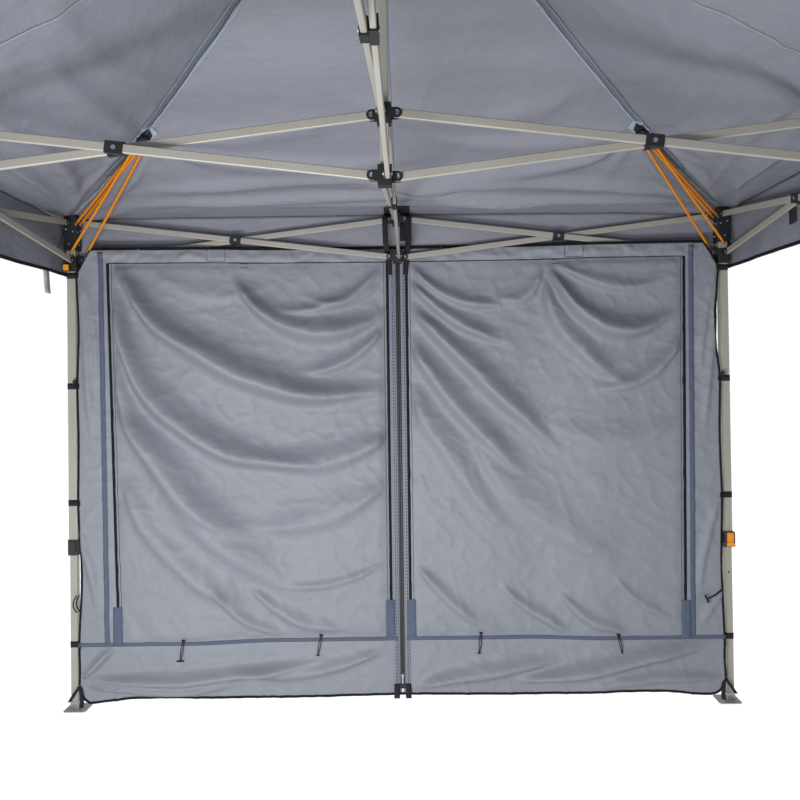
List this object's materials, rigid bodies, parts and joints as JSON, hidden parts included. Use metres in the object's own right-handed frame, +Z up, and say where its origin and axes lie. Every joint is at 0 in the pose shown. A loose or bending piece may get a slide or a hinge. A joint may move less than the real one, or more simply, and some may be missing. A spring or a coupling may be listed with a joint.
{
  "type": "folding canopy shelter",
  "caption": "Square pop-up canopy shelter on telescopic legs with a folding scissor truss, hollow pyramid roof, valances and one zip-up side wall.",
  "frame": {"origin": "on the floor at the centre of the four legs", "axes": "+Z up, +Y towards the side that carries the zipped wall, +X to the right seen from the open side opposite that wall"},
  "size_m": [3.05, 3.05, 3.0599],
  "materials": {
    "canopy_fabric": "matte",
    "wall_fabric": "matte",
    "cord": "matte",
    "frame_steel": "satin",
    "bracket_plastic": "matte",
    "button_plastic": "satin",
    "zip": "matte"
  },
  "bodies": {
    "canopy_frame": {"hub_top": "bracket_plastic", "canopy": "canopy_fabric", "tension_cords": "cord"},
    "hub_low": {"hub_low": "bracket_plastic", "peak_pole": "frame_steel"},
    "right_spoke_falling": {"right_spoke_falling": "frame_steel"},
    "right_spoke_rising": {"right_spoke_rising": "frame_steel"},
    "right_mid_bracket_top": {"right_mid_bracket_top": "bracket_plastic"},
    "right_mid_bracket_low": {"right_mid_bracket_low": "bracket_plastic"},
    "right_bar_falling_1": {"right_bar_falling_1": "frame_steel"},
    "right_bar_rising_1": {"right_bar_rising_1": "frame_steel"},
    "right_bar_falling_2": {"right_bar_falling_2": "frame_steel"},
    "right_bar_rising_2": {"right_bar_rising_2": "frame_steel"},
    "back_spoke_falling": {"back_spoke_falling": "frame_steel"},
    "back_spoke_rising": {"back_spoke_rising": "frame_steel"},
    "back_mid_bracket_top": {"back_mid_bracket_top": "bracket_plastic"},
    "back_mid_bracket_low": {"back_mid_bracket_low": "bracket_plastic"},
    "back_bar_falling_1": {"back_bar_falling_1": "frame_steel"},
    "back_bar_rising_1": {"back_bar_rising_1": "frame_steel"},
    "back_left_outer_leg": {"back_left_outer_leg": "frame_steel", "wall_left": "wall_fabric"},
    "back_left_slider": {"back_left_slider": "bracket_plastic"},
    "back_bar_falling_2": {"back_bar_falling_2": "frame_steel"},
    "back_bar_rising_2": {"back_bar_rising_2": "frame_steel"},
    "back_right_outer_leg": {"back_right_outer_leg": "frame_steel", "wall_right": "wall_fabric"},
    "back_right_slider": {"back_right_slider": "bracket_plastic"},
    "left_spoke_falling": {"left_spoke_falling": "frame_steel"},
    "left_spoke_rising": {"left_spoke_rising": "frame_steel"},
    "left_mid_bracket_top": {"left_mid_bracket_top": "bracket_plastic"},
    "left_mid_bracket_low": {"left_mid_bracket_low": "bracket_plastic"},
    "left_bar_falling_1": {"left_bar_falling_1": "frame_steel"},
    "left_bar_rising_1": {"left_bar_rising_1": "frame_steel"},
    "left_bar_falling_2": {"left_bar_falling_2": "frame_steel"},
    "left_bar_rising_2": {"left_bar_rising_2": "frame_steel"},
    "front_spoke_falling": {"front_spoke_falling": "frame_steel"},
    "front_spoke_rising": {"front_spoke_rising": "frame_steel"},
    "front_mid_bracket_top": {"front_mid_bracket_top": "bracket_plastic"},
    "front_mid_bracket_low": {"front_mid_bracket_low": "bracket_plastic"},
    "front_bar_falling_1": {"front_bar_falling_1": "frame_steel"},
    "front_bar_rising_1": {"front_bar_rising_1": "frame_steel"},
    "front_right_outer_leg": {"front_right_outer_leg": "frame_steel"},
    "front_right_slider": {"front_right_slider": "bracket_plastic"},
    "front_bar_falling_2": {"front_bar_falling_2": "frame_steel"},
    "front_bar_rising_2": {"front_bar_rising_2": "frame_steel"},
    "front_left_outer_leg": {"front_left_outer_leg": "frame_steel"},
    "front_left_slider": {"front_left_slider": "bracket_plastic"},
    "back_right_inner_leg": {"back_right_inner_leg": "frame_steel"},
    "back_right_slider_button": {"back_right_slider_button": "button_plastic"},
    "back_right_leg_lever": {"back_right_leg_lever": "button_plastic"},
    "back_left_inner_leg": {"back_left_inner_leg": "frame_steel"},
    "back_left_slider_button": {"back_left_slider_button": "button_plastic"},
    "back_left_leg_lever": {"back_left_leg_lever": "button_plastic"},
    "front_left_inner_leg": {"front_left_inner_leg": "frame_steel"},
    "front_left_slider_button": {"front_left_slider_button": "button_plastic"},
    "front_left_leg_lever": {"front_left_leg_lever": "button_plastic"},
    "front_right_inner_leg": {"front_right_inner_leg": "frame_steel"},
    "front_right_slider_button": {"front_right_slider_button": "button_plastic"},
    "front_right_leg_lever": {"front_right_leg_lever": "button_plastic"},
    "wall_zip_slider": {"wall_zip_slider": "zip"}
  },
  "joints": [
    {"name": "fold", "type": "hinge", "parent": "canopy_frame", "child": "right_spoke_falling", "pos_m": [0.035, -0.0085, 2.183], "axis": [0, 1, 0], "range_deg": [0, 70], "deforming": ["canopy", "tension_cords", "wall_left", "wall_right"]},
    {"name": "right_spoke_crossing", "type": "hinge", "parent": "right_spoke_falling", "child": "right_spoke_rising", "pos_m": [0.7325, 0, 2.0985], "axis": [0, 1, 0], "range_deg": [-140, 0]},
    {"name": "right_mid_low_hinge", "type": "hinge", "parent": "right_spoke_falling", "child": "right_mid_bracket_low", "pos_m": [1.43, -0.0085, 2.014], "axis": [0, 1, 0], "range_deg": [-70, 0]},
    {"name": "right_mid_top_hinge", "type": "hinge", "parent": "right_spoke_rising", "child": "right_mid_bracket_top", "pos_m": [1.43, 0.0085, 2.183], "axis": [0, 1, 0], "range_deg": [0, 70]},
    {"name": "hub_low_hinge", "type": "hinge", "parent": "right_spoke_rising", "child": "hub_low", "pos_m": [0.035, 0.0085, 2.014], "axis": [0, 1, 0], "range_deg": [0, 70]},
    {"name": "right_bar_falling_1_hinge", "type": "hinge", "parent": "right_mid_bracket_top", "child": "right_bar_falling_1", "pos_m": [1.4835, 0.035, 2.183], "axis": [-1, 0, 0], "range_deg": [0, 70]},
    {"name": "right_bar_rising_1_hinge", "type": "hinge", "parent": "right_mid_bracket_low", "child": "right_bar_rising_1", "pos_m": [1.4665, 0.035, 2.014], "axis": [-1, 0, 0], "range_deg": [-70, 0]},
    {"name": "right_bar_falling_2_hinge", "type": "hinge", "parent": "right_mid_bracket_top", "child": "right_bar_falling_2", "pos_m": [1.4665, -0.035, 2.183], "axis": [1, 0, 0], "range_deg": [0, 70]},
    {"name": "right_bar_rising_2_hinge", "type": "hinge", "parent": "right_mid_bracket_low", "child": "right_bar_rising_2", "pos_m": [1.4835, -0.035, 2.014], "axis": [1, 0, 0], "range_deg": [-70, 0]},
    {"name": "back_spoke_falling_hinge", "type": "hinge", "parent": "canopy_frame", "child": "back_spoke_falling", "pos_m": [0.0085, 0.035, 2.183], "axis": [-1, 0, 0], "range_deg": [0, 70]},
    {"name": "back_spoke_crossing", "type": "hinge", "parent": "back_spoke_falling", "child": "back_spoke_rising", "pos_m": [0, 0.7325, 2.0985], "axis": [-1, 0, 0], "range_deg": [-140, 0]},
    {"name": "back_mid_low_hinge", "type": "hinge", "parent": "back_spoke_falling", "child": "back_mid_bracket_low", "pos_m": [0.0085, 1.43, 2.014], "axis": [-1, 0, 0], "range_deg": [-70, 0]},
    {"name": "back_mid_top_hinge", "type": "hinge", "parent": "back_spoke_rising", "child": "back_mid_bracket_top", "pos_m": [-0.0085, 1.43, 2.183], "axis": [-1, 0, 0], "range_deg": [0, 70]},
    {"name": "back_bar_falling_1_hinge", "type": "hinge", "parent": "back_mid_bracket_top", "child": "back_bar_falling_1", "pos_m": [-0.035, 1.4835, 2.183], "axis": [0, -1, 0], "range_deg": [0, 70]},
    {"name": "back_bar_rising_1_hinge", "type": "hinge", "parent": "back_mid_bracket_low", "child": "back_bar_rising_1", "pos_m": [-0.035, 1.4665, 2.014], "axis": [0, -1, 0], "range_deg": [-70, 0]},
    {"name": "back_left_leg_hinge", "type": "hinge", "parent": "back_bar_rising_1", "child": "back_left_outer_leg", "pos_m": [-1.43, 1.4665, 2.183], "axis": [0, -1, 0], "range_deg": [0, 70]},
    {"name": "back_left_slider_hinge", "type": "hinge", "parent": "back_bar_falling_1", "child": "back_left_slider", "pos_m": [-1.43, 1.4835, 2.014], "axis": [0, -1, 0], "range_deg": [-70, 0]},
    {"name": "back_bar_falling_2_hinge", "type": "hinge", "parent": "back_mid_bracket_top", "child": "back_bar_falling_2", "pos_m": [0.035, 1.4665, 2.183], "axis": [0, 1, 0], "range_deg": [0, 70]},
    {"name": "back_bar_rising_2_hinge", "type": "hinge", "parent": "back_mid_bracket_low", "child": "back_bar_rising_2", "pos_m": [0.035, 1.4835, 2.014], "axis": [0, 1, 0], "range_deg": [-70, 0]},
    {"name": "back_right_leg_hinge", "type": "hinge", "parent": "back_bar_rising_2", "child": "back_right_outer_leg", "pos_m": [1.43, 1.4835, 2.183], "axis": [0, 1, 0], "range_deg": [0, 70]},
    {"name": "back_right_slider_hinge", "type": "hinge", "parent": "back_bar_falling_2", "child": "back_right_slider", "pos_m": [1.43, 1.4665, 2.014], "axis": [0, 1, 0], "range_deg": [-70, 0]},
    {"name": "left_spoke_falling_hinge", "type": "hinge", "parent": "canopy_frame", "child": "left_spoke_falling", "pos_m": [-0.035, 0.0085, 2.183], "axis": [0, -1, 0], "range_deg": [0, 70]},
    {"name": "left_spoke_crossing", "type": "hinge", "parent": "left_spoke_falling", "child": "left_spoke_rising", "pos_m": [-0.7325, 0, 2.0985], "axis": [0, -1, 0], "range_deg": [-140, 0]},
    {"name": "left_mid_low_hinge", "type": "hinge", "parent": "left_spoke_falling", "child": "left_mid_bracket_low", "pos_m": [-1.43, 0.0085, 2.014], "axis": [0, -1, 0], "range_deg": [-70, 0]},
    {"name": "left_mid_top_hinge", "type": "hinge", "parent": "left_spoke_rising", "child": "left_mid_bracket_top", "pos_m": [-1.43, -0.0085, 2.183], "axis": [0, -1, 0], "range_deg": [0, 70]},
    {"name": "left_bar_falling_1_hinge", "type": "hinge", "parent": "left_mid_bracket_top", "child": "left_bar_falling_1", "pos_m": [-1.4835, -0.035, 2.183], "axis": [1, 0, 0], "range_deg": [0, 70]},
    {"name": "left_bar_rising_1_hinge", "type": "hinge", "parent": "left_mid_bracket_low", "child": "left_bar_rising_1", "pos_m": [-1.4665, -0.035, 2.014], "axis": [1, 0, 0], "range_deg": [-70, 0]},
    {"name": "left_bar_falling_2_hinge", "type": "hinge", "parent": "left_mid_bracket_top", "child": "left_bar_falling_2", "pos_m": [-1.4665, 0.035, 2.183], "axis": [-1, 0, 0], "range_deg": [0, 70]},
    {"name": "left_bar_rising_2_hinge", "type": "hinge", "parent": "left_mid_bracket_low", "child": "left_bar_rising_2", "pos_m": [-1.4835, 0.035, 2.014], "axis": [-1, 0, 0], "range_deg": [-70, 0]},
    {"name": "front_spoke_falling_hinge", "type": "hinge", "parent": "canopy_frame", "child": "front_spoke_falling", "pos_m": [-0.0085, -0.035, 2.183], "axis": [1, 0, 0], "range_deg": [0, 70]},
    {"name": "front_spoke_crossing", "type": "hinge", "parent": "front_spoke_falling", "child": "front_spoke_rising", "pos_m": [0, -0.7325, 2.0985], "axis": [1, 0, 0], "range_deg": [-140, 0]},
    {"name": "front_mid_low_hinge", "type": "hinge", "parent": "front_spoke_falling", "child": "front_mid_bracket_low", "pos_m": [-0.0085, -1.43, 2.014], "axis": [1, 0, 0], "range_deg": [-70, 0]},
    {"name": "front_mid_top_hinge", "type": "hinge", "parent": "front_spoke_rising", "child": "front_mid_bracket_top", "pos_m": [0.0085, -1.43, 2.183], "axis": [1, 0, 0], "range_deg": [0, 70]},
    {"name": "front_bar_falling_1_hinge", "type": "hinge", "parent": "front_mid_bracket_top", "child": "front_bar_falling_1", "pos_m": [0.035, -1.4835, 2.183], "axis": [0, 1, 0], "range_deg": [0, 70]},
    {"name": "front_bar_rising_1_hinge", "type": "hinge", "parent": "front_mid_bracket_low", "child": "front_bar_rising_1", "pos_m": [0.035, -1.4665, 2.014], "axis": [0, 1, 0], "range_deg": [-70, 0]},
    {"name": "front_right_leg_hinge", "type": "hinge", "parent": "front_bar_rising_1", "child": "front_right_outer_leg", "pos_m": [1.43, -1.4665, 2.183], "axis": [0, 1, 0], "range_deg": [0, 70]},
    {"name": "front_right_slider_hinge", "type": "hinge", "parent": "front_bar_falling_1", "child": "front_right_slider", "pos_m": [1.43, -1.4835, 2.014], "axis": [0, 1, 0], "range_deg": [-70, 0]},
    {"name": "front_bar_falling_2_hinge", "type": "hinge", "parent": "front_mid_bracket_top", "child": "front_bar_falling_2", "pos_m": [-0.035, -1.4665, 2.183], "axis": [0, -1, 0], "range_deg": [0, 70]},
    {"name": "front_bar_rising_2_hinge", "type": "hinge", "parent": "front_mid_bracket_low", "child": "front_bar_rising_2", "pos_m": [-0.035, -1.4835, 2.014], "axis": [0, -1, 0], "range_deg": [-70, 0]},
    {"name": "front_left_leg_hinge", "type": "hinge", "parent": "front_bar_rising_2", "child": "front_left_outer_leg", "pos_m": [-1.43, -1.4835, 2.183], "axis": [0, -1, 0], "range_deg": [0, 70]},
    {"name": "front_left_slider_hinge", "type": "hinge", "parent": "front_bar_falling_2", "child": "front_left_slider", "pos_m": [-1.43, -1.4665, 2.014], "axis": [0, -1, 0], "range_deg": [-70, 0]},
    {"name": "back_right_leg_slide", "type": "slide", "parent": "back_right_outer_leg", "child": "back_right_inner_leg", "axis": [0, 0, 1], "range_m": [0, 0.62]},
    {"name": "back_right_button_press", "type": "slide", "parent": "back_right_slider", "child": "back_right_slider_button", "axis": [1, 0, 0], "range_m": [0, 0.005], "stiffness_N_per_m": 600, "springref_m": -0.002},
    {"name": "back_right_lever_flip", "type": "hinge", "parent": "back_right_outer_leg", "child": "back_right_leg_lever", "pos_m": [1.475, 1.442, 0.745], "axis": [-1, 0, 0], "range_deg": [0, 35], "stiffness_Nm_per_rad": 0.3, "springref_deg": -11.46},
    {"name": "back_left_leg_slide", "type": "slide", "parent": "back_left_outer_leg", "child": "back_left_inner_leg", "axis": [0, 0, 1], "range_m": [0, 0.62]},
    {"name": "back_left_button_press", "type": "slide", "parent": "back_left_slider", "child": "back_left_slider_button", "axis": [0, 1, 0], "range_m": [0, 0.005], "stiffness_N_per_m": 600, "springref_m": -0.002},
    {"name": "back_left_lever_flip", "type": "hinge", "parent": "back_left_outer_leg", "child": "back_left_leg_lever", "pos_m": [-1.442, 1.475, 0.745], "axis": [0, -1, 0], "range_deg": [0, 35], "stiffness_Nm_per_rad": 0.3, "springref_deg": -11.46},
    {"name": "front_left_leg_slide", "type": "slide", "parent": "front_left_outer_leg", "child": "front_left_inner_leg", "axis": [0, 0, 1], "range_m": [0, 0.62]},
    {"name": "front_left_button_press", "type": "slide", "parent": "front_left_slider", "child": "front_left_slider_button", "axis": [-1, 0, 0], "range_m": [0, 0.005], "stiffness_N_per_m": 600, "springref_m": -0.002},
    {"name": "front_left_lever_flip", "type": "hinge", "parent": "front_left_outer_leg", "child": "front_left_leg_lever", "pos_m": [-1.475, -1.442, 0.745], "axis": [1, 0, 0], "range_deg": [0, 35], "stiffness_Nm_per_rad": 0.3, "springref_deg": -11.46},
    {"name": "front_right_leg_slide", "type": "slide", "parent": "front_right_outer_leg", "child": "front_right_inner_leg", "axis": [0, 0, 1], "range_m": [0, 0.62]},
    {"name": "front_right_button_press", "type": "slide", "parent": "front_right_slider", "child": "front_right_slider_button", "axis": [0, -1, 0], "range_m": [0, 0.005], "stiffness_N_per_m": 600, "springref_m": -0.002},
    {"name": "front_right_lever_flip", "type": "hinge", "parent": "front_right_outer_leg", "child": "front_right_leg_lever", "pos_m": [1.442, -1.475, 0.745], "axis": [0, 1, 0], "range_deg": [0, 35], "stiffness_Nm_per_rad": 0.3, "springref_deg": -11.46},
    {"name": "wall_zip", "type": "slide", "parent": "back_mid_bracket_top", "child": "wall_zip_slider", "axis": [0, 0, 1], "range_m": [0, 1.85]}
  ],
  "couplings": [
    {"joint": "right_spoke_crossing", "follows": "fold", "ratio": -2},
    {"joint": "right_mid_low_hinge", "follows": "fold", "ratio": -1},
    {"joint": "right_mid_top_hinge", "follows": "fold", "ratio": 1},
    {"joint": "hub_low_hinge", "follows": "fold", "ratio": 1},
    {"joint": "right_bar_falling_1_hinge", "follows": "fold", "ratio": 1},
    {"joint": "right_bar_rising_1_hinge", "follows": "fold", "ratio": -1},
    {"joint": "right_bar_falling_2_hinge", "follows": "fold", "ratio": 1},
    {"joint": "right_bar_rising_2_hinge", "follows": "fold", "ratio": -1},
    {"joint": "back_spoke_falling_hinge", "follows": "fold", "ratio": 1},
    {"joint": "back_spoke_crossing", "follows": "fold", "ratio": -2},
    {"joint": "back_mid_low_hinge", "follows": "fold", "ratio": -1},
    {"joint": "back_mid_top_hinge", "follows": "fold", "ratio": 1},
    {"joint": "back_bar_falling_1_hinge", "follows": "fold", "ratio": 1},
    {"joint": "back_bar_rising_1_hinge", "follows": "fold", "ratio": -1},
    {"joint": "back_left_leg_hinge", "follows": "fold", "ratio": 1},
    {"joint": "back_left_slider_hinge", "follows": "fold", "ratio": -1},
    {"joint": "back_bar_falling_2_hinge", "follows": "fold", "ratio": 1},
    {"joint": "back_bar_rising_2_hinge", "follows": "fold", "ratio": -1},
    {"joint": "back_right_leg_hinge", "follows": "fold", "ratio": 1},
    {"joint": "back_right_slider_hinge", "follows": "fold", "ratio": -1},
    {"joint": "left_spoke_falling_hinge", "follows": "fold", "ratio": 1},
    {"joint": "left_spoke_crossing", "follows": "fold", "ratio": -2},
    {"joint": "left_mid_low_hinge", "follows": "fold", "ratio": -1},
    {"joint": "left_mid_top_hinge", "follows": "fold", "ratio": 1},
    {"joint": "left_bar_falling_1_hinge", "follows": "fold", "ratio": 1},
    {"joint": "left_bar_rising_1_hinge", "follows": "fold", "ratio": -1},
    {"joint": "left_bar_falling_2_hinge", "follows": "fold", "ratio": 1},
    {"joint": "left_bar_rising_2_hinge", "follows": "fold", "ratio": -1},
    {"joint": "front_spoke_falling_hinge", "follows": "fold", "ratio": 1},
    {"joint": "front_spoke_crossing", "follows": "fold", "ratio": -2},
    {"joint": "front_mid_low_hinge", "follows": "fold", "ratio": -1},
    {"joint": "front_mid_top_hinge", "follows": "fold", "ratio": 1},
    {"joint": "front_bar_falling_1_hinge", "follows": "fold", "ratio": 1},
    {"joint": "front_bar_rising_1_hinge", "follows": "fold", "ratio": -1},
    {"joint": "front_right_leg_hinge", "follows": "fold", "ratio": 1},
    {"joint": "front_right_slider_hinge", "follows": "fold", "ratio": -1},
    {"joint": "front_bar_falling_2_hinge", "follows": "fold", "ratio": 1},
    {"joint": "front_bar_rising_2_hinge", "follows": "fold", "ratio": -1},
    {"joint": "front_left_leg_hinge", "follows": "fold", "ratio": 1},
    {"joint": "front_left_slider_hinge", "follows": "fold", "ratio": -1}
  ]
}
